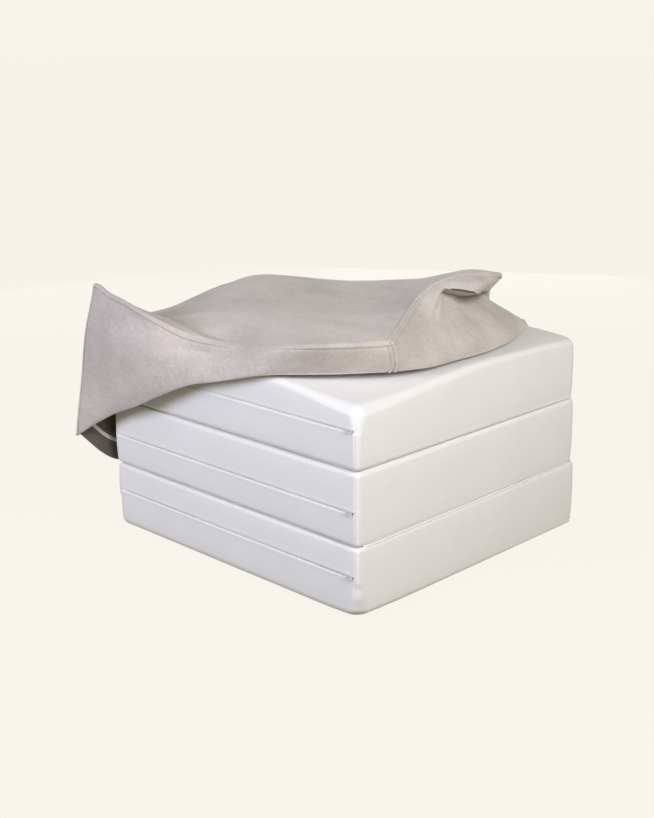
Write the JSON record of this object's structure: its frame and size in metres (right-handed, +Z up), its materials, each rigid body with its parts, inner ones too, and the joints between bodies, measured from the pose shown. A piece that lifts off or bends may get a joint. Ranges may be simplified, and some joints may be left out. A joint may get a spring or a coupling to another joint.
{
  "type": "futon mattress",
  "caption": "Tri-fold foam futon mattress folded into a stack, with zipped white knit covers and a loose woven outer cover thrown over the top.",
  "frame": {"origin": "centre of the bottom block's underside, on the floor", "axes": "+Z up; +X towards the side where the bottom and middle blocks are joined; -Y towards the side with the zips"},
  "size_m": [0.7097, 0.7532, 0.5248],
  "materials": {
    "knit": "matte fine knit",
    "foam": "open-cell foam",
    "zip_tape": "woven tape",
    "zip_slider": "satin",
    "weave": "melange upholstery weave",
    "binding": "overlocked tape"
  },
  "bodies": {
    "bottom_block": {"bottom_foam_core": "foam", "bottom_cover_wrap": "knit", "bottom_front_lower_panel": "knit", "bottom_front_upper_panel": "knit", "bottom_rear_panel": "knit", "bottom_zip_chain": "zip_tape", "lower_hinge_gusset": "knit"},
    "middle_block": {"middle_foam_core": "foam", "middle_cover_wrap": "knit", "middle_front_lower_panel": "knit", "middle_front_upper_panel": "knit", "middle_rear_panel": "knit", "middle_zip_chain": "zip_tape", "upper_hinge_gusset": "knit"},
    "top_block": {"top_foam_core": "foam", "top_cover_wrap": "knit", "top_front_lower_panel": "knit", "top_front_upper_panel": "knit", "top_rear_panel": "knit", "top_zip_chain": "zip_tape"},
    "bottom_slider": {"bottom_zip_slider": "zip_slider"},
    "middle_slider": {"middle_zip_slider": "zip_slider"},
    "top_slider": {"top_zip_slider": "zip_slider"},
    "outer_cover": {"cover_top_panel": "weave", "cover_front_border": "weave", "cover_right_border": "weave", "cover_rear_border": "weave", "cover_left_border": "weave", "cover_hem_tape": "binding"}
  },
  "joints": [
    {"name": "fold_lower", "type": "hinge", "parent": "bottom_block", "child": "middle_block", "pos_m": [0.3265, 0, 0.13], "axis": [0, 1, 0], "range_deg": [0, 180], "deforming": ["lower_hinge_gusset"]},
    {"name": "fold_upper", "type": "hinge", "parent": "middle_block", "child": "top_block", "pos_m": [-0.3265, 0, 0.26], "axis": [0, -1, 0], "range_deg": [0, 180], "deforming": ["upper_hinge_gusset", "cover_left_border", "cover_top_panel", "cover_hem_tape"]},
    {"name": "cover_lift", "type": "slide", "parent": "top_block", "child": "outer_cover", "axis": [0, 0, 1], "range_m": [0, 0.45]},
    {"name": "bottom_zip_slide", "type": "slide", "parent": "bottom_block", "child": "bottom_slider", "axis": [-1, 0, 0], "range_m": [0, 0.58]},
    {"name": "middle_zip_slide", "type": "slide", "parent": "middle_block", "child": "middle_slider", "axis": [-1, 0, 0], "range_m": [0, 0.58]},
    {"name": "top_zip_slide", "type": "slide", "parent": "top_block", "child": "top_slider", "axis": [-1, 0, 0], "range_m": [0, 0.58]}
  ]
}
